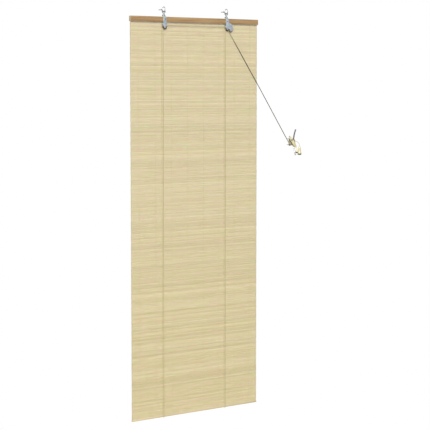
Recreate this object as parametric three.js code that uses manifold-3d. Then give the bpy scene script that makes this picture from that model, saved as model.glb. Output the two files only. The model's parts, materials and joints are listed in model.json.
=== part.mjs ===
// Bamboo roll-up blind on two wall hooks, with a cord lock, a wall cleat and wooden cord pulls.
// Millimetres. +X to the right of someone facing the blind, +Y into the wall, +Z up.
// The origin is on the wall's face, midway between the two hooks, level with their shanks.
import * as THREE from 'three';
import { mergeVertices } from 'three/addons/utils/BufferGeometryUtils.js';
import Module from 'manifold-3d';

const wasm = await Module();
wasm.setup();

// ---- Driving dimensions -------------------------------------------------------------------
const WIDTH = 600;              // blind, edge to edge
const DROP = 1600;              // top of the head battens to the bottom of the rod
const GAP = 0.3;                // air left between pieces that touch
const MAT_Y = -19;              // mid plane of the woven mat, in front of the wall
const MAT_THICKNESS = 2;
const RAIL_TOP = -28.5;         // top of the head battens, below the hook shanks
const RAIL_HEIGHT = 21;
const FRONT_BATTEN = 7.5;
const BACK_BATTEN = 5;
const HANGER_X = [-147, 148];   // left and right hangers
const SHEET = 1;                // hanger sheet steel
const CORD = 1.9;               // lift cord diameter
const STRAND_PITCH = 2.25;      // the two strands, side by side
const ROD_RADIUS = 3.5;
const PIN_RADIUS = 1.2;         // axles, lock pin and rivet
const BORE_RADIUS = PIN_RADIUS + GAP;

// ---- Worked out from them -----------------------------------------------------------------
const matFront = MAT_Y - MAT_THICKNESS / 2;
const matBack = MAT_Y + MAT_THICKNESS / 2;
const railFront = matFront - GAP - FRONT_BATTEN;
const railBack = matBack + GAP + BACK_BATTEN;
const railBottom = RAIL_TOP - RAIL_HEIGHT;
const plateFront = railFront - GAP - SHEET;      // front face of the hanger's front plate
const backPlateFront = matFront - 1.4;
const backPlateBack = backPlateFront + SHEET;
const pulleyFront = plateFront + SHEET + GAP;
const pulleyBack = backPlateFront - GAP;
const pulleyY = (pulleyFront + pulleyBack) / 2;
const pulleyZ = RAIL_TOP - 40;
const PULLEY_RADIUS = 9;
const GROOVE_RADIUS = 5.9;
const cordOnPulley = GROOVE_RADIUS + GAP + CORD / 2;
const frontStrandY = pulleyY - STRAND_PITCH / 2;
const backStrandY = pulleyY + STRAND_PITCH / 2;
const rodZ = RAIL_TOP - DROP + ROD_RADIUS;
const bightRadius = ROD_RADIUS + GAP + CORD / 2;
const cordPulleyX = HANGER_X.map((x) => x - cordOnPulley);

// ---- Geometry helpers ---------------------------------------------------------------------
function welded(geometry) {
  geometry.deleteAttribute('normal');
  geometry.deleteAttribute('uv');
  return mergeVertices(geometry, 1e-4);
}

function toSolid(geometry) {
  const merged = welded(geometry);
  return new wasm.Manifold(new wasm.Mesh({
    numProp: 3,
    vertProperties: new Float32Array(merged.attributes.position.array),
    triVerts: new Uint32Array(merged.index.array),
  }));
}

function fromSolid(manifold) {
  const mesh = manifold.getMesh();
  const geometry = new THREE.BufferGeometry();
  geometry.setAttribute('position', new THREE.BufferAttribute(new Float32Array(mesh.vertProperties), 3));
  geometry.setIndex(new THREE.BufferAttribute(new Uint32Array(mesh.triVerts), 1));
  return geometry;
}

function joined(...geometries) {
  return fromSolid(geometries.map(toSolid).reduce((sum, next) => sum.add(next)));
}

function cut(geometry, ...tools) {
  return fromSolid(tools.map(toSolid).reduce((rest, tool) => rest.subtract(tool), toSolid(geometry)));
}

function clipped(geometry, keep) {
  return fromSolid(toSolid(geometry).intersect(toSolid(keep)));
}

// A box given by its lowest and highest corners.
function block(low, high) {
  const size = high.map((value, i) => value - low[i]);
  const middle = high.map((value, i) => (value + low[i]) / 2);
  return new THREE.BoxGeometry(...size).translate(...middle);
}

// A cylinder along Y from y0 to y1.
function barY(radius, x, z, y0, y1, sides = 20) {
  return new THREE.CylinderGeometry(radius, radius, y1 - y0, sides).translate(x, (y0 + y1) / 2, z);
}

// A cylinder along X from x0 to x1.
function barX(radius, y, z, x0, x1, sides = 20) {
  return new THREE.CylinderGeometry(radius, radius, x1 - x0, sides)
    .rotateZ(Math.PI / 2).translate((x0 + x1) / 2, y, z);
}

// A flat outline in X and Z, given thickness from y0 to y1.
function plateY(shape, y0, y1, curveSegments = 6) {
  return new THREE.ExtrudeGeometry(shape, { depth: y1 - y0, bevelEnabled: false, curveSegments })
    .rotateX(Math.PI / 2).translate(0, y1, 0);
}

function ringOfPoints(radius, sides) {
  const turn = (2 * Math.PI) / sides;
  return Array.from({ length: sides }, (_, i) =>
    new THREE.Vector2(radius * Math.cos(i * turn), radius * Math.sin(i * turn)));
}

// A round bar swept along a smooth curve through the points.
function tube(points, radius, { sides = 8, steps = 24 } = {}) {
  const corners = points.map((p) => new THREE.Vector3(...p));
  const path = new THREE.CatmullRomCurve3(corners, false, 'centripetal');
  const section = new THREE.Shape(ringOfPoints(radius, sides));
  return new THREE.ExtrudeGeometry(section, { steps, extrudePath: path, bevelEnabled: false });
}

// A straight round bar between two points.
function straight(from, to, radius, sides = 8) {
  const path = new THREE.LineCurve3(new THREE.Vector3(...from), new THREE.Vector3(...to));
  const section = new THREE.Shape(ringOfPoints(radius, sides));
  return new THREE.ExtrudeGeometry(section, { steps: 1, extrudePath: path, bevelEnabled: false });
}

// A turned piece: profile pairs are [radius, height]; the axis is Y until it is turned.
function turned(profile, segments = 24) {
  return new THREE.LatheGeometry(profile.map((p) => new THREE.Vector2(...p)), segments);
}

// Points on an arc in the X-Z plane, angles in degrees from +X towards +Z.
function arcXZ(x, y, z, radius, from, to, count) {
  return Array.from({ length: count }, (_, i) => {
    const angle = THREE.MathUtils.degToRad(from + ((to - from) * i) / (count - 1));
    return [x + radius * Math.cos(angle), y, z + radius * Math.sin(angle)];
  });
}

// Points on an arc in the Y-Z plane, angles in degrees from +Y towards +Z.
function arcYZ(x, y, z, radius, from, to, count) {
  return Array.from({ length: count }, (_, i) => {
    const angle = THREE.MathUtils.degToRad(from + ((to - from) * i) / (count - 1));
    return [x, y + radius * Math.cos(angle), z + radius * Math.sin(angle)];
  });
}

// ---- Materials ----------------------------------------------------------------------------
function finish(color, roughness, metalness = 0) {
  return () => new THREE.MeshStandardMaterial({ color, roughness, metalness });
}

const FINISHES = {
  bamboo: finish(0xdbcda5, 0.75),
  batten: finish(0xb99364, 0.6),
  rod: finish(0xd9b27a, 0.6),
  zinc: finish(0xb4c4cc, 0.4, 1),
  hookSteel: finish(0xb4b3b0, 0.35, 1),
  darkWire: finish(0x5f7870, 0.45, 1),
  pulley: finish(0x6e5a26, 0.5),
  cord: finish(0x6e7055, 0.85),
  cleat: finish(0x9a9b9d, 0.4, 1),
  paleWood: finish(0xe6d9a3, 0.5),
};

const blind = new THREE.Group();

function addPart(name, geometry, finishName) {
  const mesh = new THREE.Mesh(geometry, FINISHES[finishName]());
  mesh.name = name;
  blind.add(mesh);
  return mesh;
}

// ---- Head rail: two battens clamped on the top edge of the mat ------------------------------
const NAIL_X = [-285, -95, 95, 285];
const NAIL_RADIUS = 0.9;
const NAIL_HEAD_RADIUS = 2;
const NAIL_HEAD = 0.7;
const STRAP_SCREW_RADIUS = 1.3;
const STRAP_SCREW_HEAD = 3;
const EYE_WIRE = 1.4;
const nailZ = RAIL_TOP - 12;
const nailTip = railFront + 2;
const screwZ = RAIL_TOP - 10;
const screwTip = matFront - GAP - 1.5;
const eyeY = -14.5;
const eyeStemTop = railBottom + 9;
const EYE_HOLE_DEPTH = 10;
const THROUGH = 40;             // longer than any hole is deep

const nailHoles = NAIL_X.map((x) => barY(NAIL_RADIUS + GAP, x, nailZ, nailTip - GAP, 0, 10));
const screwHoles = HANGER_X.map((x) =>
  barY(STRAP_SCREW_RADIUS + GAP, x, screwZ, railFront - 1, screwTip + GAP, 12));
const eyeHoles = cordPulleyX.map((x) =>
  new THREE.CylinderGeometry(EYE_WIRE / 2 + GAP, EYE_WIRE / 2 + GAP, EYE_HOLE_DEPTH, 10)
    .rotateX(Math.PI / 2).translate(x, eyeY, eyeStemTop + GAP - EYE_HOLE_DEPTH / 2));

addPart('head_batten_front', cut(
  block([-WIDTH / 2, railFront, railBottom], [WIDTH / 2, matFront - GAP, RAIL_TOP]),
  ...nailHoles, ...screwHoles), 'batten');
addPart('head_batten_back', cut(
  block([-WIDTH / 2, matBack + GAP, railBottom], [WIDTH / 2, railBack, RAIL_TOP]),
  ...nailHoles, ...eyeHoles), 'batten');
addPart('bamboo_mat', cut(
  block([-WIDTH / 2, matFront, rodZ + ROD_RADIUS + GAP], [WIDTH / 2, matBack, RAIL_TOP - 1]),
  ...nailHoles), 'bamboo');
NAIL_X.forEach((x, i) => addPart(`batten_nail_${i + 1}`, joined(
  barY(NAIL_RADIUS, x, nailZ, nailTip, railBack + GAP + 0.1, 10),
  barY(NAIL_HEAD_RADIUS, x, nailZ, railBack + GAP, railBack + GAP + NAIL_HEAD, 14)), 'hookSteel'));

// ---- Hangers: pressed steel straps with a rolled knuckle on top and a pulley cage below ------
const STRAP_HALF = 7.25;
const KNUCKLE_Z = RAIL_TOP + 3.4;
const KNUCKLE_INNER = 1.5;
const KNUCKLE_OUTER = KNUCKLE_INNER + SHEET;
const KNUCKLE_HALF = 4;
const LINK_WIRE = 2.2;
const TONGUE_LOW = 0.5;         // underside of the tongue, above the rail
const TONGUE_TOP = 1.6;
const WEB_TOP = railBottom - GAP;

// The strap seen from the front, its heights measured from the rail's top: a narrow neck, straight
// sides down the rail, then a bulge round the pulley with a round nose at the bottom.
function strapOutline(x) {
  const z = (offset) => RAIL_TOP + offset;
  const shape = new THREE.Shape();
  shape.moveTo(x - KNUCKLE_HALF, z(TONGUE_TOP));
  shape.lineTo(x - STRAP_HALF, z(-2.5));
  shape.lineTo(x - STRAP_HALF, z(-25));
  shape.quadraticCurveTo(x - 9.5, z(-28), x - 9.5, z(-31));
  shape.quadraticCurveTo(x - 9.5, z(-36.5), x - 5, z(-38));
  shape.quadraticCurveTo(x - 4.4, z(-45), x, z(-45));
  shape.quadraticCurveTo(x + 4.4, z(-45), x + 5, z(-38));
  shape.quadraticCurveTo(x + 9.5, z(-36.5), x + 9.5, z(-31));
  shape.quadraticCurveTo(x + 9.5, z(-28), x + STRAP_HALF, z(-25));
  shape.lineTo(x + STRAP_HALF, z(-2.5));
  shape.lineTo(x + KNUCKLE_HALF, z(TONGUE_TOP));
  shape.closePath();
  return shape;
}

// The lock's wing: a triangle with round corners to the right of the strap.
function wingOutline(x) {
  const z = (offset) => RAIL_TOP + offset;
  const shape = new THREE.Shape();
  shape.moveTo(x + 3, z(-14));
  shape.quadraticCurveTo(x + 20, z(-19), x + 26, z(-28));
  shape.quadraticCurveTo(x + 30, z(-35), x + 27, z(-41));
  shape.quadraticCurveTo(x + 22, z(-50), x + 16, z(-51));
  shape.quadraticCurveTo(x + 11, z(-51), x + 11, z(-44));
  shape.lineTo(x + 3, z(-37));
  shape.closePath();
  return shape;
}

// The tongue over the rail and the knuckle rolled round the link's lower bar.
function knuckle(x) {
  const left = x - KNUCKLE_HALF;
  const right = x + KNUCKLE_HALF;
  const tongue = block([left, plateFront, RAIL_TOP + TONGUE_LOW], [right, MAT_Y, RAIL_TOP + TONGUE_TOP]);
  const roll = barX(KNUCKLE_OUTER, MAT_Y, KNUCKLE_Z, left, right, 18);
  const bore = barX(KNUCKLE_INNER, MAT_Y, KNUCKLE_Z, left - 1, right + 1, 14);
  return cut(joined(tongue, roll), bore);
}

// Front cheek, back cheek and the web between them under the rail. Only the front one climbs the rail.
const WEB_SINK = 0.2;           // how far the web's ends run into the cheeks
const WEB_LEFT = 5;

function cage(outline, x) {
  const front = plateY(outline, plateFront, plateFront + SHEET);
  const belowRail = block([x - THROUGH, -2 * THROUGH, WEB_TOP - THROUGH], [x + THROUGH, 0, WEB_TOP]);
  const back = clipped(plateY(outline, backPlateFront, backPlateBack), belowRail);
  const web = block(
    [x - WEB_LEFT, plateFront + WEB_SINK, WEB_TOP - SHEET],
    [x + STRAP_HALF, backPlateBack - WEB_SINK, WEB_TOP]);
  return joined(front, back, web);
}

const LOCK_X = HANGER_X[1] + 16;
const LOCK_Z = RAIL_TOP - 46.5;
const SLOT_DIRECTION = new THREE.Vector2(0.819, 0.574);
const LOCK_TRAVEL = 2.5;
const RIVET_X = HANGER_X[1] + 22;
const RIVET_Z = RAIL_TOP - 30;

// The slot in both cheeks that the lock pin rides in.
function pinSlot() {
  const low = barY(BORE_RADIUS, LOCK_X, LOCK_Z, -THROUGH, 0, 16);
  const endX = LOCK_X + SLOT_DIRECTION.x * LOCK_TRAVEL;
  const endZ = LOCK_Z + SLOT_DIRECTION.y * LOCK_TRAVEL;
  const high = barY(BORE_RADIUS, endX, endZ, -THROUGH, 0, 16);
  const middle = new THREE.BoxGeometry(LOCK_TRAVEL, THROUGH, 2 * BORE_RADIUS)
    .rotateY(-Math.atan2(SLOT_DIRECTION.y, SLOT_DIRECTION.x))
    .translate((LOCK_X + endX) / 2, -THROUGH / 2, (LOCK_Z + endZ) / 2);
  return joined(low, high, middle);
}

function hanger(x, wing) {
  const base = cage(strapOutline(x), x);
  const body = wing ? joined(base, cage(wingOutline(x), x), knuckle(x)) : joined(base, knuckle(x));
  const holes = [
    barY(STRAP_SCREW_RADIUS + GAP, x, screwZ, -THROUGH, 0, 12),
    barY(BORE_RADIUS, x, pulleyZ, -THROUGH, 0, 16),
  ];
  if (wing) {
    holes.push(pinSlot(), barY(BORE_RADIUS, RIVET_X, RIVET_Z, -THROUGH, 0, 16));
  }
  return cut(body, ...holes);
}

// A wire link pinched in the middle, hung on the wall hook and held in the knuckle.
function link(x) {
  const z = (offset) => RAIL_TOP + offset;
  const points = [
    [x - 0.2, MAT_Y, KNUCKLE_Z], [x - 5.2, MAT_Y, KNUCKLE_Z], [x - 6.4, MAT_Y, z(4.6)],
    [x - 1.7, MAT_Y, z(11)], [x - 7.4, MAT_Y, z(19.5)], [x - 6, MAT_Y, z(21.4)],
    [x, MAT_Y, z(21.5)],
    [x + 6, MAT_Y, z(21.4)], [x + 7.4, MAT_Y, z(19.5)], [x + 1.7, MAT_Y, z(11)],
    [x + 6.4, MAT_Y, z(4.6)], [x + 5.2, MAT_Y, KNUCKLE_Z], [x + 0.2, MAT_Y, KNUCKLE_Z],
  ];
  return tube(points, LINK_WIRE / 2, { sides: 8, steps: 44 });
}

// A screw hook: the wire runs down and round under the link, and its tip ends above the shank.
const HOOK_RADIUS = 10;
const HOOK_WIRE = 3;
const SHANK_IN_WALL = 22;
const HOOK_POINT = 6;
const COLLAR_RADIUS = 3.4;

function wallHook(x) {
  const bend = arcYZ(x, MAT_Y, 0, HOOK_RADIUS, -25, -318, 16);
  const shank = [SHANK_IN_WALL - HOOK_POINT + 1, 6, -4].map((y) => [x, y, 0]);
  const points = [...shank, [x, MAT_Y + HOOK_RADIUS + 1, -1.2], ...bend];
  const wire = tube(points, HOOK_WIRE / 2, { sides: 10, steps: 30 });
  const point = new THREE.ConeGeometry(HOOK_WIRE / 2, HOOK_POINT, 10)
    .translate(x, SHANK_IN_WALL - HOOK_POINT / 2, 0);
  const collar = barY(COLLAR_RADIUS, x, 0, -1.6, -0.2, 16);
  return joined(wire, point, collar);
}

const RIVET_HEAD_RADIUS = 2.4;
const RIVET_HEAD = 0.8;

// The axles, the lock pin and the rivet are alike: a pin with a low head on the front.
function rivet(x, z) {
  const seat = plateFront - GAP;
  return joined(
    barY(PIN_RADIUS, x, z, plateFront - 1, backPlateBack - 0.1, 14),
    barY(RIVET_HEAD_RADIUS, x, z, seat - RIVET_HEAD, seat, 16));
}

function strapScrew(x) {
  const head = plateFront - GAP;
  return joined(
    barY(STRAP_SCREW_RADIUS, x, screwZ, head - 0.8, screwTip, 12),
    barY(STRAP_SCREW_HEAD, x, screwZ, head - 1.2, head, 18));
}

// A sheave with a flat-bottomed groove wide enough for two strands.
function pulley(x) {
  const half = (pulleyBack - pulleyFront) / 2;
  const flange = 0.6;
  const groove = half - flange - 0.1;
  const wheel = turned([
    [0, -half], [PULLEY_RADIUS, -half], [PULLEY_RADIUS, -half + flange], [GROOVE_RADIUS, -groove],
    [GROOVE_RADIUS, groove], [PULLEY_RADIUS, half - flange], [PULLEY_RADIUS, half], [0, half],
  ], 28).translate(x, pulleyY, pulleyZ);
  return cut(wheel, barY(BORE_RADIUS, x, pulleyZ, -THROUGH, 0, 16));
}

const SIDES = ['left', 'right'];
SIDES.forEach((side, i) => {
  const x = HANGER_X[i];
  addPart(`${side}_hanger`, hanger(x, side === 'right'), 'zinc');
  addPart(`${side}_link`, link(x), 'darkWire');
  addPart(`${side}_wall_hook`, wallHook(x), 'hookSteel');
  addPart(`${side}_strap_screw`, strapScrew(x), 'hookSteel');
  addPart(`${side}_pulley_axle`, rivet(x, pulleyZ), 'hookSteel');
  addPart(`${side}_pulley`, pulley(x), 'pulley');
});

// ---- Cord lock: a knurled roller on a pin that rides in the wing's slanted slots --------------
const ROLLER_RADIUS = 7.5;
const KNURLS = 18;
const KNURL_DEPTH = 0.5;

function lockRoller() {
  const rim = Array.from({ length: 2 * KNURLS }, (_, i) => {
    const angle = (i * Math.PI) / KNURLS;
    const radius = i % 2 ? ROLLER_RADIUS - KNURL_DEPTH : ROLLER_RADIUS;
    return new THREE.Vector2(LOCK_X + radius * Math.cos(angle), LOCK_Z + radius * Math.sin(angle));
  });
  const roller = plateY(new THREE.Shape(rim), pulleyFront, pulleyBack);
  return cut(roller, barY(BORE_RADIUS, LOCK_X, LOCK_Z, -THROUGH, 0, 16));
}

addPart('lock_roller', lockRoller(), 'pulley');
addPart('lock_pin', rivet(LOCK_X, LOCK_Z), 'hookSteel');
addPart('lock_rivet', rivet(RIVET_X, RIVET_Z), 'hookSteel');

// ---- Bottom rod ------------------------------------------------------------------------------
addPart('bottom_rod', barX(ROD_RADIUS, MAT_Y, rodZ, -WIDTH / 2, WIDTH / 2, 24), 'rod');

// ---- Lift cords: down the back, under the rod, up the front, over the pulleys ------------------
const EYE_RADIUS = 2.2;
const KNOT_HALF = 2.6;
const KNOT_RADIUS = 2.3;
const eyeZ = railBottom - GAP - EYE_RADIUS - EYE_WIRE / 2;
const knotZ = eyeZ - EYE_RADIUS - EYE_WIRE / 2 - GAP - KNOT_HALF;
const bightTop = rodZ + 4;
const backRunY = MAT_Y + bightRadius;
const frontRunY = MAT_Y - bightRadius;

function cordEye(x) {
  const ring = arcYZ(x, eyeY, eyeZ, EYE_RADIUS, 80, -235, 14);
  const stem = [eyeStemTop, railBottom + 5, railBottom + 1, railBottom - 0.3].map((z) => [x, eyeY, z]);
  return tube([...stem, ...ring.slice(2)], EYE_WIRE / 2, { sides: 6, steps: 26 });
}

// A stopper knot, drawn tight under the eye.
function anchorKnot(x) {
  return turned([[0, -KNOT_HALF], [1.5, -2.1], [KNOT_RADIUS, 0], [1.5, 2.1], [0, KNOT_HALF]], 12)
    .rotateX(Math.PI / 2).translate(x, eyeY, knotZ);
}

function bight(x) {
  const turn = arcYZ(x, MAT_Y, rodZ, bightRadius, 0, -180, 13);
  return tube([[x, backRunY, bightTop], ...turn, [x, frontRunY, bightTop]], CORD / 2, { steps: 14 });
}

SIDES.forEach((side, i) => {
  const x = cordPulleyX[i];
  const strandY = i === 0 ? frontStrandY : backStrandY;
  const runEnd = bightTop + GAP;
  const backCord = straight([x, eyeY, knotZ - KNOT_HALF - GAP], [x, backRunY, runEnd], CORD / 2);
  const frontCord = straight([x, strandY, pulleyZ - GAP], [x, frontRunY, runEnd], CORD / 2);
  addPart(`${side}_cord_eye`, cordEye(x), 'hookSteel');
  addPart(`${side}_anchor_knot`, anchorKnot(x), 'cord');
  addPart(`${side}_back_cord`, backCord, 'cord');
  addPart(`${side}_cord_bight`, bight(x), 'cord');
  addPart(`${side}_front_cord`, frontCord, 'cord');
});

// A cord that bends along the points and then runs straight from corner to corner.
const RUN_OVERLAP = 0.2;

function bentThenStraight(points, steps, ...corners) {
  const starts = [points[points.length - 1], ...corners];
  const runs = corners.map((end, i) => {
    const start = new THREE.Vector3(...starts[i]);
    const back = start.clone().sub(new THREE.Vector3(...end)).setLength(RUN_OVERLAP);
    return straight(start.add(back).toArray(), end, CORD / 2);
  });
  return joined(tube(points, CORD / 2, { steps }), ...runs);
}

// Over the left pulley and across under the rail to the right one.
addPart('cross_cord', bentThenStraight(
  arcXZ(HANGER_X[0], frontStrandY, pulleyZ, cordOnPulley, 180, 90, 8), 12,
  [HANGER_X[1] - GAP, frontStrandY, pulleyZ + cordOnPulley]), 'cord');

// ---- Wall cleat --------------------------------------------------------------------------------
const CLEAT_X = 483.5;
const CLEAT_Z = -536;
const HORN_Y = -27.3;           // middle of the horn bar
const HORN_TIP_Y = -41.5;
const HORN_HALF = 51.5;
const HORN_RADIUS = 3;
const HORN_TIP_RADIUS = 3.6;
const POST_HALF_WIDTH = 4;
const POST_HALF_HEIGHT = 8;
const CLEAT_SCREW_OFFSET = 12.6;
const CLEAT_SCREW_RADIUS = 1.5;
const CLEAT_SCREW_HEAD = 3.3;
const CLEAT_SCREW_POINT = 5;
const BASE_HALF = 17;
const BASE_HALF_WIDTH = 6;
const BASE_THICKNESS = 2.4;

function cleat() {
  const z = (offset) => CLEAT_Z + offset;
  const half = [[12, HORN_Y - 0.7], [24, HORN_Y - 3], [38, HORN_Y - 7.6], [HORN_HALF, HORN_TIP_Y]];
  const points = [
    ...half.map(([offset, y]) => [CLEAT_X, y, z(offset)]).reverse(),
    [CLEAT_X, HORN_Y, z(0)],
    ...half.map(([offset, y]) => [CLEAT_X, y, z(-offset)]),
  ];
  const bar = tube(points, HORN_RADIUS, { sides: 10, steps: 20 });
  const tips = [HORN_HALF, -HORN_HALF].map((offset) =>
    new THREE.SphereGeometry(HORN_TIP_RADIUS, 10, 8).translate(CLEAT_X, HORN_TIP_Y, z(offset)));
  const post = block(
    [CLEAT_X - POST_HALF_WIDTH, HORN_Y + 0.5, z(-POST_HALF_HEIGHT)],
    [CLEAT_X + POST_HALF_WIDTH, -BASE_THICKNESS + 0.5, z(POST_HALF_HEIGHT)]);
  const outline = new THREE.Shape();
  outline.absarc(CLEAT_X, z(BASE_HALF - BASE_HALF_WIDTH), BASE_HALF_WIDTH, 0, Math.PI, false);
  outline.absarc(CLEAT_X, z(BASE_HALF_WIDTH - BASE_HALF), BASE_HALF_WIDTH, Math.PI, 2 * Math.PI, false);
  outline.closePath();
  const base = plateY(outline, -BASE_THICKNESS, 0, 8);
  const holes = [1, -1].map((sign) =>
    barY(CLEAT_SCREW_RADIUS + GAP + 0.1, CLEAT_X, z(sign * CLEAT_SCREW_OFFSET), -THROUGH, THROUGH, 14));
  return cut(joined(bar, ...tips, post, base), ...holes);
}

function cleatScrew(sign) {
  const z = CLEAT_Z + sign * CLEAT_SCREW_OFFSET;
  const seat = -BASE_THICKNESS - GAP;
  const shankEnd = 14;
  return joined(
    barY(CLEAT_SCREW_RADIUS, CLEAT_X, z, seat - 0.5, shankEnd, 12),
    barY(CLEAT_SCREW_HEAD, CLEAT_X, z, seat - 1.6, seat, 18),
    new THREE.ConeGeometry(CLEAT_SCREW_RADIUS, CLEAT_SCREW_POINT, 12)
      .translate(CLEAT_X, shankEnd - 0.1 + CLEAT_SCREW_POINT / 2, z));
}

addPart('cord_cleat', cleat(), 'cleat');
addPart('cleat_screw_upper', cleatScrew(1), 'hookSteel');
addPart('cleat_screw_lower', cleatScrew(-1), 'hookSteel');

// The cord wound on the cleat's post, behind the horns.
const HITCH_Y = -20;
const HITCH_OUTER = 15;
const HITCH_INNER = 9.6;
const HITCH_HALF = 3.6;
const HITCH_ROUNDING = 1.5;
const hitchShoulder = HITCH_OUTER - HITCH_ROUNDING;
const hitchSide = HITCH_HALF - HITCH_ROUNDING;
addPart('cord_hitch', turned([
  [HITCH_INNER, -HITCH_HALF], [hitchShoulder, -HITCH_HALF], [HITCH_OUTER, -hitchSide],
  [HITCH_OUTER, hitchSide], [hitchShoulder, HITCH_HALF], [HITCH_INNER, HITCH_HALF],
  [HITCH_INNER, -HITCH_HALF],
], 28).translate(CLEAT_X, HITCH_Y, CLEAT_Z), 'cord');

// ---- Pull cord: both strands leave the right pulley, turn under the roller and run to the cleat --
const rollerPitch = ROLLER_RADIUS + GAP + CORD / 2;
const hitchPitch = HITCH_OUTER + GAP + CORD / 2;
const PULL_SLOPE = 57.5;        // degrees the tight cord falls below level
const pullSlope = THREE.MathUtils.degToRad(PULL_SLOPE);
const hitchContact = [
  CLEAT_X - hitchPitch * Math.sin(pullSlope), CLEAT_Z - hitchPitch * Math.cos(pullSlope)];
const PAST_MAT_X = WIDTH / 2 + 12;

// In front of the mat a strand keeps its distance, so that the rod can rise behind it; past the mat's
// edge it falls back to the hitch.
function pullStrand(startY, endY, over) {
  const under = arcXZ(LOCK_X, startY, LOCK_Z, rollerPitch, 176, 270 - PULL_SLOPE, 5);
  const [leaveX, , leaveZ] = under[under.length - 1];
  const share = (PAST_MAT_X - leaveX) / (hitchContact[0] - leaveX);
  const pastMat = [PAST_MAT_X, startY, THREE.MathUtils.lerp(leaveZ, hitchContact[1], share)];
  return bentThenStraight([...over, ...under], 24, pastMat, [hitchContact[0], endY, hitchContact[1]]);
}

// The left strand comes level off the cross cord; the right one rises off its own fall of the blind.
function overPulley(y, startAngle, count) {
  return arcXZ(HANGER_X[1], y, pulleyZ, cordOnPulley, startAngle, 2, count);
}

addPart('pull_cord_left',
  pullStrand(frontStrandY, HITCH_Y - STRAND_PITCH / 2, overPulley(frontStrandY, 90, 8)), 'cord');
addPart('pull_cord_right',
  pullStrand(backStrandY, HITCH_Y + STRAND_PITCH / 2, overPulley(backStrandY, 180, 13)), 'cord');

// ---- Wooden cord joiner and the two pulls below it ---------------------------------------------
const JOINER_TOP = [459.9, -37.5, -515];
const JOINER_BOTTOM = [488, -37.5, -556];
const JOINER_RADIUS = 6;
const JOINER_END_RADIUS = 4.2;
const JOINER_BORE = 1.6;
const JOINER_HOLE = 2.4;        // the hole across it, that the knot is pushed in through
const JOINER_HOLE_DOWN = 12;    // from its top end
const JOINER_HOLE_TURN = -1.05; // radians the barrel has spun on its cord

function joiner() {
  const top = new THREE.Vector3(...JOINER_TOP);
  const bottom = new THREE.Vector3(...JOINER_BOTTOM);
  const length = top.distanceTo(bottom);
  const half = length / 2;
  const barrel = turned([
    [0, -half], [JOINER_END_RADIUS, -half], [5.2, -half + 2], [JOINER_RADIUS, -half * 0.4],
    [JOINER_RADIUS, half * 0.4], [5.2, half - 2], [JOINER_END_RADIUS, half], [0, half],
  ], 24);
  const bore = new THREE.CylinderGeometry(JOINER_BORE, JOINER_BORE, length + 2, 10);
  const crossHole = new THREE.CylinderGeometry(JOINER_HOLE, JOINER_HOLE, THROUGH, 12)
    .rotateX(Math.PI / 2).rotateY(JOINER_HOLE_TURN).translate(0, half - JOINER_HOLE_DOWN, 0);
  const turn = new THREE.Quaternion().setFromUnitVectors(
    new THREE.Vector3(0, 1, 0), top.clone().sub(bottom).normalize());
  const middle = top.clone().add(bottom).multiplyScalar(0.5);
  return cut(barrel, bore, crossHole).applyQuaternion(turn).translate(...middle.toArray());
}

// A turned bell with a cord hole down its middle and a hollow under it. Its shape is given as shares
// of its height, down from the top, and of its radius.
const BELL_BORE = 1.5;

function bell({ at, height, radius }) {
  const wood = turned([
    [0, 0], [radius * 0.45, 0], [radius * 0.62, height * 0.12], [radius * 0.72, height * 0.45],
    [radius, height * 0.82], [radius * 0.94, height], [0, height],
  ], 24);
  const hollow = turned([
    [0, height * 0.62], [radius * 0.5, height * 0.7], [radius * 0.72, height + 1], [0, height + 1],
  ], 20);
  const bore = new THREE.CylinderGeometry(BELL_BORE, BELL_BORE, height * 2, 10);
  return cut(wood, hollow, bore).rotateX(-Math.PI / 2).translate(...at);
}

const BELLS = {
  large: { at: [510, -35, -555], height: 35, radius: 8.2 },
  small: { at: [493, -37.5, -562], height: 20, radius: 4.6 },
};
addPart('cord_joiner', joiner(), 'paleWood');
addPart('large_bell', bell(BELLS.large), 'paleWood');
addPart('small_bell', bell(BELLS.small), 'paleWood');

// The strands come forward off the hitch: one over its left shoulder into the joiner and on to the
// small bell, the other off its right side to the large bell.
const TAILS = {
  joiner_cord: [
    [467.4, -21, -530.4], [464.4, -24, -523.4], [460, -29, -514.2], [457.2, -34.5, -509.5],
    [458.2, -37.3, -511.6], [459.6, -37.5, -514.5],
  ],
  small_bell_cord: [[488.4, -37.5, -556.6], [491, -37.5, -559], [492.8, -37.5, -561.6]],
  large_bell_cord: [
    [500.4, -21, -533], [503.6, -25, -534.8], [508, -31, -540.5], [510, -34.6, -547.5], [510, -35, -554.6],
  ],
};
for (const [name, points] of Object.entries(TAILS)) {
  addPart(name, tube(points, CORD / 2, { steps: 4 * (points.length - 1) }), 'cord');
}

export default blind;
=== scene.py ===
import json
import math

import bmesh
import bpy
import numpy as np
from mathutils import Matrix, Vector


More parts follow.
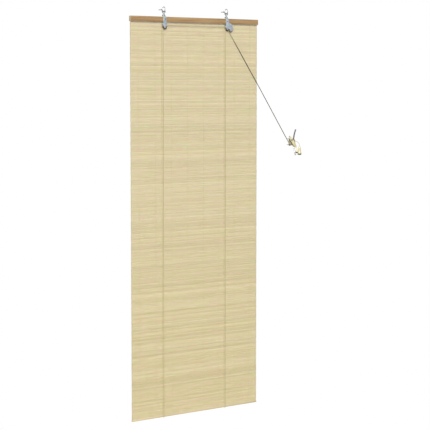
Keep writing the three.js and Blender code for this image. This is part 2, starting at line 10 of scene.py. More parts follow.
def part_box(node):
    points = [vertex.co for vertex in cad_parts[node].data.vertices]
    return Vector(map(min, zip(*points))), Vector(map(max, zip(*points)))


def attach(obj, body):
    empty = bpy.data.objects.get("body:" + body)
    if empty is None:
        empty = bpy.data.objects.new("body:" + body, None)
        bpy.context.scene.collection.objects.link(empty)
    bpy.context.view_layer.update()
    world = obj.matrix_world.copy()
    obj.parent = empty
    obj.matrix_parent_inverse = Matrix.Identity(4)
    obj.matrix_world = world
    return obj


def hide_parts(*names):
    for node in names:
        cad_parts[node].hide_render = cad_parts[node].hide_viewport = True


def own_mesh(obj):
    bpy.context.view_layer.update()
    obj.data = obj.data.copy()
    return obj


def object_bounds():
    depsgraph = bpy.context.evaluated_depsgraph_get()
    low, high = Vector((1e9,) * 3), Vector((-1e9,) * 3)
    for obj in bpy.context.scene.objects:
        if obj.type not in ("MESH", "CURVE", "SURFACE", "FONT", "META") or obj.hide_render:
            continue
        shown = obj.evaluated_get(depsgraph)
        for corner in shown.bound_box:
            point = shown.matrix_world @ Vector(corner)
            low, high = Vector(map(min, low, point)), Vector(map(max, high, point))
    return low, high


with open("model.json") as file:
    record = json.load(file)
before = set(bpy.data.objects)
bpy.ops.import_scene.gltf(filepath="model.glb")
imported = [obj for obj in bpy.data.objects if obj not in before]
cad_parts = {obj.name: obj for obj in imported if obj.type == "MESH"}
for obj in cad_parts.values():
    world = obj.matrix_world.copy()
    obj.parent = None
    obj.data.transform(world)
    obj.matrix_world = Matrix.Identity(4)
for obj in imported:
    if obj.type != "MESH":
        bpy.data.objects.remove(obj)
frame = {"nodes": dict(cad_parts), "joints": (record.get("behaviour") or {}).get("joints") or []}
cad_low, cad_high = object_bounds()
nodes = frame["nodes"]
scene = bpy.context.scene

# ---- Studio -------------------------------------------------------------------------------------
# The blind hangs before a white backdrop, and the room in front of it is grey. One large soft lamp
# stands high on the left in front, so the head rail throws a thin shadow on the mat. A pale floor lies
# well below the bottom rod.
WHITE_FROM = 0.6                # how far a direction points to the back before the room is white
GREY_FROM = 0.1
ROOM_GREY = 0.42

scene.view_settings.view_transform = "Standard"
world = bpy.data.worlds.new("white room")
world.use_nodes = True
scene.world = world
room = world.node_tree
toward = room.nodes.new("ShaderNodeTexCoord")
split = room.nodes.new("ShaderNodeSeparateXYZ")
fade = room.nodes.new("ShaderNodeMapRange")
fade.interpolation_type = "SMOOTHSTEP"
for name, value in (("From Min", GREY_FROM), ("From Max", WHITE_FROM), ("To Min", ROOM_GREY)):
    fade.inputs[name].default_value = value
room.links.new(toward.outputs["Generated"], split.inputs[0])
room.links.new(split.outputs["Y"], fade.inputs["Value"])
room.links.new(fade.outputs[0], room.nodes["Background"].inputs["Strength"])
room.nodes["Background"].inputs["Color"].default_value = (1, 1, 1, 1)

lamp = bpy.data.lights.new("key lamp", "AREA")
lamp.shape = "DISK"
lamp.size = 4.8
lamp.energy = 5800
LAMP_DISTANCE = 20              # far off, so that the rod gets nearly as much light as the rail
lamp_object = bpy.data.objects.new("key lamp", lamp)
middle = (cad_low + cad_high) / 2
lamp_from = Vector((-0.5, -0.75, 0.44)).normalized()
lamp_object.location = middle + lamp_from * LAMP_DISTANCE
lamp_object.rotation_euler = (-lamp_from).to_track_quat("-Z", "Y").to_euler()
scene.collection.objects.link(lamp_object)

camera = bpy.data.cameras.new("camera")
camera.lens = 108.06
camera.shift_y = -0.06
camera_object = bpy.data.objects.new("camera", camera)
camera_object.location = (-2.7694, -4.4138, -0.3025)
camera_object.rotation_euler = (math.pi / 2 - 0.0793, 0, -0.5774)
scene.collection.objects.link(camera_object)
scene.camera = camera_object

bpy.ops.mesh.primitive_plane_add(size=2.8, location=(middle.x, 0, cad_low.z - 1.1))
floor = bpy.context.object
floor.name = "floor"
floor_paint = bpy.data.materials.new("pale floor")
floor_paint.use_nodes = True
floor_shader = floor_paint.node_tree.nodes["Principled BSDF"]
floor_shader.inputs["Base Color"].default_value = (0.7, 0.7, 0.69, 1)
floor_shader.inputs["Roughness"].default_value = 0.8
floor.data.materials.append(floor_paint)


# ---- Head rail ----------------------------------------------------------------------------------
# Two planed battens of a light hardwood, stained and waxed, clamp the mat's top edge between them.
# Their long edges are broken with a block plane and their ends are plain saw cuts.
MM = 0.001
LIGHT = 1.5                     # how much brighter than the white room the lamp makes a front face


def join(tree, value, entry):
    """Links a Sock to an input, or sets the input to a plain value."""
    if isinstance(value, Sock):
        tree.links.new(value.output, entry)
    else:
        entry.default_value = value


class Sock:
    """One output in a node tree. Arithmetic on it adds Math nodes to the tree."""

    def __init__(self, tree, output):
        self.tree = tree
        self.output = output

    def math(self, operation, *values):
        node = self.tree.nodes.new("ShaderNodeMath")
        node.operation = operation
        for value, entry in zip(values, node.inputs):
            join(self.tree, value, entry)
        return Sock(self.tree, node.outputs[0])

    def __add__(self, other):
        return self.math("ADD", self, other)

    def __sub__(self, other):
        return self.math("SUBTRACT", self, other)

    def __rsub__(self, other):
        return self.math("SUBTRACT", other, self)

    def __mul__(self, other):
        return self.math("MULTIPLY", self, other)

    def __truediv__(self, other):
        return self.math("DIVIDE", self, other)

    def __rtruediv__(self, other):
        return self.math("DIVIDE", other, self)

    def __gt__(self, other):
        return self.math("GREATER_THAN", self, other)

    def __abs__(self):
        return self.math("ABSOLUTE", self)

    def cosine(self):
        return self.math("COSINE", self)

    __radd__ = __add__
    __rmul__ = __mul__


class Graph:
    """A node tree being built: any node from its type, settings and the values of its sockets."""

    def __init__(self, tree):
        self.tree = tree

    def node(self, kind, values=(), out=0, **settings):
        node = self.tree.nodes.new(kind)
        for name, value in settings.items():
            setattr(node, name, value)
        for name, value in dict(values).items():
            join(self.tree, value, node.inputs[name])
        return Sock(self.tree, node.outputs[out])

    def vector(self, x, y, z):
        return self.node("ShaderNodeCombineXYZ", {0: x, 1: y, 2: z})

    def stretched(self, place, by):
        return self.node("ShaderNodeVectorMath", {0: place, 1: by}, operation="MULTIPLY")


class Finish(Graph):
    """A material being made: one Principled shader, painted by place in the row frame."""

    def __init__(self, name, **fixed):
        self.material = bpy.data.materials.new(name)
        self.material.use_nodes = True
        super().__init__(self.material.node_tree)
        self.shader = self.tree.nodes["Principled BSDF"]
        self.place = self.node("ShaderNodeTexCoord", out="Object")
        for key, value in fixed.items():
            self.feed(key.replace("_", " "), value)

    def feed(self, name, value):
        join(self.tree, value, self.shader.inputs[name])

    def along(self, axis):
        return self.node("ShaderNodeSeparateXYZ", {0: self.place}, out=axis)

    def mix(self, share, first, second, blend="MIX"):
        return self.node("ShaderNodeMix", {0: share, 6: first, 7: second}, out=2,
                         data_type="RGBA", blend_type=blend)

    def noise(self, stretch, detail=2.0, place=None):
        spread = self.stretched(place or self.place, stretch)
        return self.node("ShaderNodeTexNoise", {"Vector": spread, "Scale": 1.0, "Detail": detail})

    def ramp(self, value, low, high, top=1.0):
        values = {"Value": value, "From Min": low, "From Max": high, "To Max": top}
        return self.node("ShaderNodeMapRange", values, interpolation_type="SMOOTHSTEP")

    def bump(self, height, depth):
        values = {"Height": height, "Distance": depth}
        self.feed("Normal", self.node("ShaderNodeBump", values, out="Normal"))


def paint(red, green, blue):
    """The paint that looks like this display colour on a face turned to the lamp."""
    def linear(level):
        level = level / 255
        return level / 12.92 if level <= 0.04045 else ((level + 0.055) / 1.055) ** 2.4
    return tuple(linear(level) / LIGHT for level in (red, green, blue)) + (1.0,)


def smoothed(mesh, angle=32):
    """Round faces are shaded round, and edges sharper than the angle stay sharp."""
    mesh.polygons.foreach_set("use_smooth", [True] * len(mesh.polygons))
    mesh.set_sharp_from_angle(angle=math.radians(angle))


def finished(piece, finish, body, stands_for):
    """Gives a finished piece its material and its body, and hides the CAD nodes it stands for."""
    if finish is not None:
        piece.data.materials.clear()
        piece.data.materials.append(finish.material)
    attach(piece, body)
    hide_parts(*stands_for)
    return piece


def from_bmesh(name, shape, angle=32):
    mesh = bpy.data.meshes.new(name)
    bmesh.ops.recalc_face_normals(shape, faces=shape.faces[:])
    shape.to_mesh(mesh)
    shape.free()
    smoothed(mesh, angle)
    piece = bpy.data.objects.new(name, mesh)
    scene.collection.objects.link(piece)
    return piece


def beam(name, low, high, edge):
    """A bar with its edges broken."""
    shape = bmesh.new()
    bmesh.ops.create_cube(shape, size=1)
    size = high - low
    for corner in shape.verts:
        corner.co = Vector(corner.co[i] * size[i] for i in range(3)) + (low + high) / 2
    bmesh.ops.bevel(shape, geom=shape.edges[:], offset=edge, segments=3, profile=0.5, affect="EDGES")
    return from_bmesh(name, shape)


def stained_wood():
    finish = Finish("stained hardwood", Coat_Weight=0.15, Coat_Roughness=0.35)
    broad = finish.noise((4.5, 90, 130), 3)
    streak = finish.noise((9, 500, 560), 4)
    fibre = finish.noise((45, 2600, 2600), 2)
    tone = broad * 0.45 + streak * 0.4 + fibre * 0.15
    colour = finish.mix(finish.ramp(tone, 0.36, 0.64), paint(148, 112, 68), paint(190, 158, 112))
    green = finish.ramp(finish.noise((7, 40, 60), 2), 0.55, 0.72, 0.45)
    colour = finish.mix(green, colour, paint(158, 142, 84))
    elsewhere = finish.node("ShaderNodeVectorMath", {0: finish.place, 1: (3.1, 0.7, 0.4)},
                            operation="ADD")
    red = finish.ramp(finish.noise((5, 55, 75), 2, elsewhere), 0.55, 0.7, 0.4)
    colour = finish.mix(red, colour, paint(168, 122, 84))
    pores = finish.ramp(finish.noise((160, 3600, 3600), 1), 0.64, 0.72, 0.55)
    colour = finish.mix(pores, colour, paint(120, 84, 46))
    end = abs(finish.along("X")) > cad_end - 0.2 * MM
    rings = finish.ramp(finish.noise((0, 900, 260), 3), 0.35, 0.65)
    end_colour = finish.mix(rings, paint(163, 148, 112), paint(199, 188, 156))
    finish.feed("Base Color", finish.mix(end, colour, end_colour))
    finish.feed("Roughness", 0.42 + fibre * 0.25 + end * 0.2)
    finish.bump(fibre * 0.6 + pores * -1.0, 0.15 * MM)
    return finish


batten_low, batten_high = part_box("head_batten_front")
cad_end = batten_high.x
wood = stained_wood()
for node in ("head_batten_front", "head_batten_back"):
    batten = beam(node + "_wood", *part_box(node), edge=0.7 * MM)
    finished(batten, wood, "headrail", [node])


# ---- Batten nails -------------------------------------------------------------------------------
# Four bright wire nails driven from the back through the back batten and the mat into the front one.
# Their flat round heads sit on the wood.
class Growth(Graph):
    """A Geometry Nodes tree being built, with named inputs."""

    def __init__(self, name, **inputs):
        super().__init__(bpy.data.node_groups.new(name, "GeometryNodeTree"))
        for key, kind in inputs.items():
            self.tree.interface.new_socket(name=key, in_out="INPUT", socket_type="NodeSocket" + kind)
        self.tree.interface.new_socket(
            name="Geometry", in_out="OUTPUT", socket_type="NodeSocketGeometry")
        self.entry = self.tree.nodes.new("NodeGroupInput")
        self.leave = self.tree.nodes.new("NodeGroupOutput")

    def given(self, name):
        return Sock(self.tree, self.entry.outputs[name])

    def line(self, count, start, offset):
        values = {"Count": count, "Start Location": start, "Offset": offset}
        return self.node("GeometryNodeMeshLine", values)

    def bar(self, mesh, radius, sides):
        """A closed round bar along an edge line."""
        curve = self.node("GeometryNodeMeshToCurve", {"Mesh": mesh})
        ring = self.node("GeometryNodeCurvePrimitiveCircle", {"Resolution": sides, "Radius": radius})
        values = {"Curve": curve, "Profile Curve": ring, "Fill Caps": True}
        return self.node("GeometryNodeCurveToMesh", values)

    def random(self, low, high, seed_offset):
        seed = self.given("Seed") + seed_offset
        if isinstance(low, tuple):
            return self.node("FunctionNodeRandomValue", {0: low, 1: high, 8: seed}, out=0,
                             data_type="FLOAT_VECTOR")
        return self.node("FunctionNodeRandomValue", {2: low, 3: high, 8: seed}, out=1,
                         data_type="FLOAT")

    def end(self, geometry):
        real = self.node("GeometryNodeRealizeInstances", {"Geometry": geometry})
        values = {"Geometry": real, "Material": self.given("Material")}
        painted = self.node("GeometryNodeSetMaterial", values)
        join(self.tree, painted, self.leave.inputs["Geometry"])


def grown(name, growth, **values):
    """Runs a tree and keeps what it makes as a plain mesh."""
    source = bpy.data.objects.new(name + "_source", bpy.data.meshes.new(name + "_source"))
    scene.collection.objects.link(source)
    modifier = source.modifiers.new("growth", "NODES")
    modifier.node_group = growth.tree
    for item in growth.tree.interface.items_tree:
        if item.in_out == "INPUT":
            modifier[item.identifier] = values[item.name]
    evaluated = source.evaluated_get(bpy.context.evaluated_depsgraph_get())
    mesh = bpy.data.meshes.new_from_object(evaluated)
    bpy.data.objects.remove(source)
    mesh.name = name
    piece = bpy.data.objects.new(name, mesh)
    scene.collection.objects.link(piece)
    return piece


def bright_steel(name, colour, rough):
    """Drawn wire or a small turned head: grey metal with fine scratches and dull patches."""
    finish = Finish(name, Metallic=1.0)
    patch = finish.noise((420, 420, 420), 3)
    scratch = finish.noise((2600, 700, 2600), 2)
    dark = tuple(level * 0.72 for level in colour[:3]) + (1.0,)
    finish.feed("Base Color", finish.mix(finish.ramp(patch, 0.35, 0.7), dark, colour))
    finish.feed("Roughness", rough + patch * 0.14 + scratch * 0.1)
    finish.bump(scratch, 0.03 * MM)
    return finish


steel = bright_steel("bright steel", (0.56, 0.55, 0.53, 1), 0.22)
nails = Growth("nails in a row", Count="Int", First="Vector", Spacing="Vector", Head="Float",
               Shank="Float", Length="Float", Thickness="Float", Seed="Int", Material="Material")
head_disc = nails.node("GeometryNodeMeshCylinder", {
    "Vertices": 28, "Radius": nails.given("Head"), "Depth": nails.given("Thickness")})
head_dome = nails.node("GeometryNodeMeshCone", {
    "Vertices": 28, "Radius Bottom": nails.given("Head"), "Radius Top": nails.given("Head") * 0.72,
    "Depth": nails.given("Thickness") * 0.45})
head_dome = nails.node("GeometryNodeTransform", {
    "Geometry": head_dome, "Translation": nails.vector(0, 0, nails.given("Thickness") * 0.5)})
shank = nails.node("GeometryNodeMeshCylinder", {
    "Vertices": 14, "Radius": nails.given("Shank"), "Depth": nails.given("Length")})
shank = nails.node("GeometryNodeTransform", {
    "Geometry": shank, "Translation": nails.vector(0, 0, nails.given("Length") * -0.5)})
solid = nails.tree.nodes.new("GeometryNodeMeshBoolean")
solid.operation = "UNION"
for part in (head_disc, head_dome, shank):
    nails.tree.links.new(part.output, solid.inputs["Mesh 2"])
row = nails.line(nails.given("Count"), nails.given("First"), nails.given("Spacing"))
FACE_BACK = -math.pi / 2
turn = nails.random((FACE_BACK, 0, 0), (FACE_BACK, 3.0, 0), 1)
placed = nails.node("GeometryNodeInstanceOnPoints", {
    "Points": row, "Instance": Sock(nails.tree, solid.outputs[0]), "Rotation": turn})
nails.end(placed)

nail_boxes = [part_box(f"batten_nail_{i}") for i in (1, 2, 3, 4)]
nail_middles = [(low + high) / 2 for low, high in nail_boxes]
nail_low, nail_high = nail_boxes[0]
NAIL_HEAD_THICKNESS = 0.6 * MM
first_nail = Vector((nail_middles[0].x, nail_high.y - NAIL_HEAD_THICKNESS * 0.75, nail_middles[0].z))
nail_rows = grown(
    "batten_nails", nails, Count=4, First=first_nail,
    Spacing=Vector(((nail_middles[3].x - nail_middles[0].x) / 3, 0, 0)), Head=2.0 * MM,
    Shank=0.9 * MM, Length=nail_high.y - nail_low.y - NAIL_HEAD_THICKNESS,
    Thickness=NAIL_HEAD_THICKNESS, Seed=3, Material=steel.material)
smoothed(nail_rows.data)
finished(nail_rows, None, "headrail", [f"batten_nail_{i}" for i in (1, 2, 3, 4)])


# ---- Bamboo mat ---------------------------------------------------------------------------------
# Split bamboo slats, each a little over two millimetres wide and one thick, laid edge to edge from
# side to side and woven together with eight pairs of cotton warp threads. The mat is left plain and
# rolls up like paper.
PITCH = 2.6 * MM
SLAT_STEPS = 20
LIFT = "shade_lift"
LIFT_TRAVEL = next(j for j in frame["joints"] if j["name"] == LIFT)["range_m"][1]


def lifted(piece, *stands_for, body="headrail"):
    """Gives the piece its own copy of its mesh. The share kept at full lift is worked out, but nothing
    shortens the piece yet.
    """
    low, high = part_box(stands_for[0])
    keep = 1 - LIFT_TRAVEL / (high.z - low.z)
    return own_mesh(piece)


mat_low, mat_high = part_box("bamboo_mat")
mat_middle = (mat_low.y + mat_high.y) / 2
rows = int((mat_high.z - mat_low.z) / PITCH)

slats = Growth("woven slats", Rows="Int", Pitch="Float", Length="Float", Top="Float", Middle="Float",
               Width="Float", Thickness="Float", Ragged="Float", Wave="Float", Seed="Int",
               Material="Material")
start = slats.vector(0, slats.given("Middle"), slats.given("Top") - slats.given("Pitch") * 0.5)
rows_line = slats.line(slats.given("Rows"), start, slats.vector(0, 0, slats.given("Pitch") * -1.0))
slide = slats.random((-1.0, 0, 0), (1.0, 0, 0), 1)
slide = slats.stretched(slide, slats.vector(slats.given("Ragged"), 0, 0))
rows_line = slats.node("GeometryNodeSetPosition", {"Geometry": rows_line, "Offset": slide})
core = slats.line(
    SLAT_STEPS + 1, slats.vector(slats.given("Length") * -0.5, 0, 0),
    slats.vector(slats.given("Length") / SLAT_STEPS, 0, 0))
section = slats.vector(1.0, slats.given("Thickness") * 0.5, slats.given("Width") * 0.5)
slat = slats.node("GeometryNodeTransform", {"Geometry": slats.bar(core, 1.0, 6), "Scale": section})
laid = slats.node("GeometryNodeInstanceOnPoints", {
    "Points": rows_line, "Instance": slat,
    "Rotation": slats.random((-0.05, 0, -0.0002), (0.05, 0, 0.0002), 2),
    "Scale": slats.random((1.0, 0.84, 0.92), (1.0, 1.12, 1.0), 3)})
for offset, attribute in enumerate(("slat_tone", "slat_phase")):
    laid = slats.node("GeometryNodeStoreNamedAttribute", {
        "Geometry": laid, "Name": attribute, "Value": slats.random(0.0, 1.0, 4 + offset)},
        data_type="FLOAT", domain="INSTANCE")
laid = slats.node("GeometryNodeRealizeInstances", {"Geometry": laid})
phase = slats.node("GeometryNodeInputNamedAttribute", {"Name": "slat_phase"}, data_type="FLOAT")
run = slats.stretched(slats.node("GeometryNodeInputPosition"), (7.0, 0, 0))
wave = slats.node("ShaderNodeTexNoise", {"Vector": run, "W": phase * 40, "Scale": 1.0, "Detail": 1.0},
                  out="Color", noise_dimensions="4D")
wave = slats.node("ShaderNodeVectorMath", {0: wave, 1: (0.5, 0.5, 0.5)}, operation="SUBTRACT")
wave = slats.stretched(wave, slats.vector(0, slats.given("Wave"), slats.given("Wave") * 0.5))
laid = slats.node("GeometryNodeSetPosition", {"Geometry": laid, "Offset": wave})
slats.end(slats.node("GeometryNodeSetShadeSmooth", {"Geometry": laid}))


def split_bamboo():
    """Pale split bamboo: long fibres, paler and browner runs in each slat, and a few dark nodes."""
    finish = Finish("split bamboo", Specular_IOR_Level=0.35)
    tone = finish.node("ShaderNodeAttribute", out="Fac", attribute_name="slat_tone")
    phase = finish.node("ShaderNodeAttribute", out="Fac", attribute_name="slat_phase")
    x = finish.along("X")

    def slat_noise(length_scale, shift, detail=2.0):
        place = finish.vector(x * length_scale, phase * 211 + shift, shift)
        return finish.noise((1, 1, 1), detail, place)

    fibre = finish.noise((38, 1500, 4200), 3)
    run = slat_noise(24, 3.3, 3.0)
    shade = tone * 0.34 + run * 0.46 + fibre * 0.2
    colour = finish.mix(finish.ramp(shade, 0.24, 0.72), paint(198, 180, 121), paint(230, 213, 158))
    green = finish.ramp(slat_noise(16, 17.1), 0.52, 0.66, 0.7)
    colour = finish.mix(green, colour, paint(204, 203, 130))
    pink = finish.ramp(slat_noise(18, 41.7), 0.5, 0.65, 0.7)
    colour = finish.mix(pink, colour, paint(222, 188, 146))
    dark_node = finish.ramp(slat_noise(160, 63.9, 1.0), 0.74, 0.79, 0.4)
    colour = finish.mix(dark_node, colour, paint(158, 128, 84))
    selvedge = finish.ramp(abs(x), cad_end - 3.2 * MM, cad_end - 1.6 * MM, 0.8)
    colour = finish.mix(selvedge, colour, paint(172, 156, 104))
    low_down = finish.ramp(finish.along("Z"), mat_high.z, mat_low.z, 0.75)
    finish.feed("Base Color", finish.mix(low_down, colour, (1.0, 1.0, 0.97, 1), "MULTIPLY"))
    finish.feed("Roughness", 0.5 + fibre * 0.3)
    finish.bump(fibre + dark_node * 0.6, 0.12 * MM)
    return finish


bamboo = split_bamboo()
mat = grown(
    "woven_mat", slats, Rows=rows, Pitch=PITCH, Length=mat_high.x - mat_low.x - 1.4 * MM,
    Top=mat_high.z, Middle=mat_middle, Width=2.56 * MM, Thickness=1.15 * MM, Ragged=0.7 * MM,
    Wave=0.3 * MM, Seed=11, Material=bamboo.material)
finished(mat, None, "headrail", ["bamboo_mat"])
lifted(mat, "bamboo_mat")

# The warp goes over one slat and under the next. Each column has two threads that do the opposite of
# one another, so a slat is always held from both faces.
warp = Growth("warp threads", Rows="Int", Pitch="Float", Top="Float", Middle="Float", Columns="Int",
              Left="Float", Spacing="Float", Apart="Float", Swing="Float", Thread="Float",
              Seed="Int", Material="Material")
thread = warp.line(
    warp.given("Rows"), warp.vector(0, 0, warp.given("Top") - warp.given("Pitch") * 0.5),
    warp.vector(0, 0, warp.given("Pitch") * -1.0))
number = warp.node("GeometryNodeInputIndex")
over_under = warp.vector(0, (number * math.pi).cosine() * warp.given("Swing"), 0)
thread = warp.node("GeometryNodeSetPosition", {"Geometry": thread, "Offset": over_under})
thread = warp.bar(thread, warp.given("Thread"), 6)
pair = warp.tree.nodes.new("GeometryNodeJoinGeometry")
for sign, half_turn in ((-0.5, 0.0), (0.5, math.pi)):
    columns = warp.line(
        warp.given("Columns"),
        warp.vector(warp.given("Left") + warp.given("Apart") * sign, warp.given("Middle"), 0),
        warp.vector(warp.given("Spacing"), 0, 0))
    held = warp.node("GeometryNodeInstanceOnPoints", {
        "Points": columns, "Instance": thread, "Rotation": (0, 0, half_turn)})
    warp.tree.links.new(held.output, pair.inputs[0])
warp.end(Sock(warp.tree, pair.outputs[0]))


def spun_cotton():
    finish = Finish("cotton warp", Sheen_Weight=0.2)
    twist = finish.noise((900, 900, 2600), 2)
    finish.feed("Base Color", finish.mix(twist, paint(196, 184, 140), paint(232, 224, 190)))
    finish.feed("Roughness", 0.8 + twist * 0.15)
    finish.bump(twist, 0.08 * MM)
    return finish


COLUMNS = 8
column_spacing = (mat_high.x - mat_low.x) / COLUMNS
threads = grown(
    "warp_threads", warp, Rows=rows, Pitch=PITCH, Top=mat_high.z, Middle=mat_middle,
    Columns=COLUMNS, Left=mat_low.x + column_spacing / 2, Spacing=column_spacing, Apart=0.7 * MM,
    Swing=0.8 * MM, Thread=0.22 * MM, Seed=5, Material=spun_cotton().material)
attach(threads, "headrail")
lifted(threads, "bamboo_mat")


# ---- Bottom rod ---------------------------------------------------------------------------------
# A sanded dowel that the last slats are bound to. It gives the roll its core, and its weight keeps
# the mat flat.
def dowel_wood():
    finish = Finish("sanded dowel", Coat_Weight=0.1, Coat_Roughness=0.4)
    streak = finish.noise((10, 700, 700), 4)
    fibre = finish.noise((60, 3000, 3000), 2)
    tone = finish.ramp(streak * 0.7 + fibre * 0.3, 0.36, 0.64)
    colour = finish.mix(tone, paint(205, 184, 132), paint(228, 208, 158))
    end = abs(finish.along("X")) > cad_end - 0.2 * MM
    finish.feed("Base Color", finish.mix(end, colour, paint(208, 186, 138)))
    finish.feed("Roughness", 0.45 + fibre * 0.2)
    finish.bump(fibre, 0.1 * MM)
    return finish


def lathe(name, profile, place, segments=48, ripples=0, ripple_depth=0.0, ripple_from=0.0):
    """Turns a closed outline of (radius, height) pairs round local Z, then puts it in place.
    Points further out than ripple_from are cut in and out as often as ripples says."""
    rings = []
    shape = bmesh.new()
    for step in range(segments):
        angle = 2 * math.pi * step / segments
        cut = ripple_depth * (0.5 - 0.5 * math.cos(ripples * angle))
        ring = []
        for radius, height in profile:
            reach = radius - (cut if radius > ripple_from else 0)
            ring.append(shape.verts.new(
                place @ Vector((reach * math.cos(angle), reach * math.sin(angle), height))))
        rings.append(ring)
    for step in range(segments):
        near, far = rings[step], rings[(step + 1) % segments]
        for i in range(len(profile)):
            j = (i + 1) % len(profile)
            shape.faces.new((near[i], far[i], far[j], near[j]))
    bmesh.ops.remove_doubles(shape, verts=shape.verts[:], dist=1e-7)
    return from_bmesh(name, shape)


def axis_at(middle, direction):
    """Local Z along the direction, with its zero at the middle."""
    return Matrix.Translation(middle) @ Vector(direction).to_track_quat("Z", "Y").to_matrix().to_4x4()


rod_low, rod_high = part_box("bottom_rod")
rod_radius = (rod_high.z - rod_low.z) / 2
rod_half = (rod_high.x - rod_low.x) / 2
rod_outline = [(0, -rod_half), (rod_radius * 0.8, -rod_half), (rod_radius * 0.95, -rod_half + 0.3 * MM),
               (rod_radius, -rod_half + 0.9 * MM)]
rod_outline += [(radius, -height) for radius, height in reversed(rod_outline)]
rod = lathe("bottom_rod_wood", rod_outline, axis_at((rod_low + rod_high) / 2, (1, 0, 0)), 40)
finished(rod, dowel_wood(), "bottom_rod", ["bottom_rod"])


# ---- Hangers ------------------------------------------------------------------------------------
# Pressed steel straps, zinc plated with a bluish and in places lilac passivation. Each goes over the
# rail, is rolled into a knuckle for its link, and carries a pulley cage with two cheeks below.
def plated_zinc():
    finish = Finish("blue zinc plate", Metallic=1.0)
    crystal = finish.node("ShaderNodeTexVoronoi", {"Vector": finish.place, "Scale": 380.0}, out="Color")
    crystal = finish.node("ShaderNodeSeparateXYZ", {0: crystal})
    cloud = finish.noise((70, 70, 90), 2)
    blue = finish.mix(crystal, (0.56, 0.74, 0.80, 1), (0.80, 0.90, 0.93, 1))
    below_rail = batten_low.z - 2.5 * MM - finish.along("Z")
    lilac = finish.ramp(cloud + below_rail * 9, 0.45, 0.66, 0.8)
    colour = finish.mix(lilac, blue, (0.86, 0.85, 0.96, 1))
    green = finish.ramp(finish.noise((110, 60, 110), 2), 0.56, 0.68, 0.45)
    colour = finish.mix(green, colour, (0.66, 0.82, 0.76, 1))
    finish.feed("Base Color", colour)
    finish.feed("Roughness", 0.3 + crystal * 0.12 + cloud * 0.1)
    finish.bump(crystal * 0.3 + finish.noise((1500, 1500, 1500), 2), 0.02 * MM)
    return finish


def copied(node):
    """The CAD node's mesh as a piece of its own, with its split corners merged."""
    mesh = nodes[node].data.copy()
    mesh.name = node + "_metal"
    shape = bmesh.new()
    shape.from_mesh(mesh)
    bmesh.ops.remove_doubles(shape, verts=shape.verts[:], dist=1e-6)
    bmesh.ops.dissolve_limit(
        shape, angle_limit=math.radians(1.5), verts=shape.verts[:], edges=shape.edges[:])
    return shape


def sharp_edges(shape, angle):
    return [edge for edge in shape.edges if edge.is_manifold and edge.calc_face_angle(0) > angle]


zinc = plated_zinc()
for side in ("left", "right"):
    shape = copied(f"{side}_hanger")
    bmesh.ops.bevel(shape, geom=sharp_edges(shape, 0.9), offset=0.14 * MM, segments=2, profile=0.5,
                    clamp_overlap=True, affect="EDGES")
    strap = from_bmesh(f"{side}_hanger_strap", shape, 28)
    finished(strap, zinc, "headrail", [f"{side}_hanger"])


# ---- Screws, axles and the lock's pin -------------------------------------------------------------
# Round-headed steel: a slotted screw through each strap into the front batten, a riveted axle for
# each pulley, the rivet that ties the lock's cheeks together, and the loose pin in its slots.
def headed_pin(name, node, head_radius, shank_radius, head_height, slot_turn):
    """A domed head in front, towards -Y, and a shank behind it. Any turn but 0 also cuts a slot."""
    low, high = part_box(node)
    length = high.y - low.y
    dome = [(head_radius * math.cos(t), head_height * (0.35 + 0.65 * math.sin(t)))
            for t in np.linspace(0, math.pi / 2, 8)]
    outline = [(0, head_height - length), (shank_radius * 0.7, head_height - length),
               (shank_radius, head_height - length + 0.4 * MM), (shank_radius, 0), (head_radius, 0)]
    middle = Vector(((low.x + high.x) / 2, low.y + head_height, (low.z + high.z) / 2))
    piece = lathe(name, outline + dome, axis_at(middle, (0, -1, 0)), 32)
    if slot_turn:
        blade = beam("blade", Vector((-head_radius, -0.3 * MM, head_height * 0.45)),
                     Vector((head_radius, 0.3 * MM, head_height * 2)), 0.02 * MM)
        blade.data.transform(axis_at(middle, (0, -1, 0)) @ Matrix.Rotation(slot_turn, 4, "Z"))
        carve(piece, blade)
    return piece


def settled(piece):
    """Takes what the piece's modifiers make of it as its own plain mesh."""
    evaluated = piece.evaluated_get(bpy.context.evaluated_depsgraph_get())
    mesh = bpy.data.meshes.new_from_object(evaluated)
    piece.modifiers.clear()
    piece.data = mesh


def carve(piece, cutter):
    """Cuts one piece out of another and throws the cutter away."""
    modifier = piece.modifiers.new("cut", "BOOLEAN")
    modifier.operation = "DIFFERENCE"
    modifier.object = cutter
    modifier.solver = "EXACT"
    settled(piece)
    bpy.data.objects.remove(cutter)


for side, slot_turn in (("left", 0.5), ("right", 1.9)):
    node = f"{side}_strap_screw"
    screw = headed_pin(node + "_head", node, 3.0 * MM, 1.3 * MM, 1.2 * MM, slot_turn)
    finished(screw, steel, "headrail", [node])
for node, body in (("left_pulley_axle", "headrail"), ("right_pulley_axle", "headrail"),
                   ("lock_rivet", "headrail"), ("lock_pin", "lock_pin")):
    pin = headed_pin(node + "_steel", node, 2.4 * MM, 1.2 * MM, 0.8 * MM, 0)
    finished(pin, steel, body, [node])


# ---- Links and wall hooks -------------------------------------------------------------------------
# A dark blued wire link joins each strap to its hook. The hook is bright wire bent to a ring, with a
# pressed collar and a coarse wood thread rolled on the shank that goes into the wall.
def unit(vectors):
    return vectors / np.linalg.norm(vectors, axis=-1, keepdims=True)


def distances(line):
    """How far along the line each of its points lies."""
    return np.concatenate([[0], np.cumsum(np.linalg.norm(np.diff(line, axis=0), axis=1))])


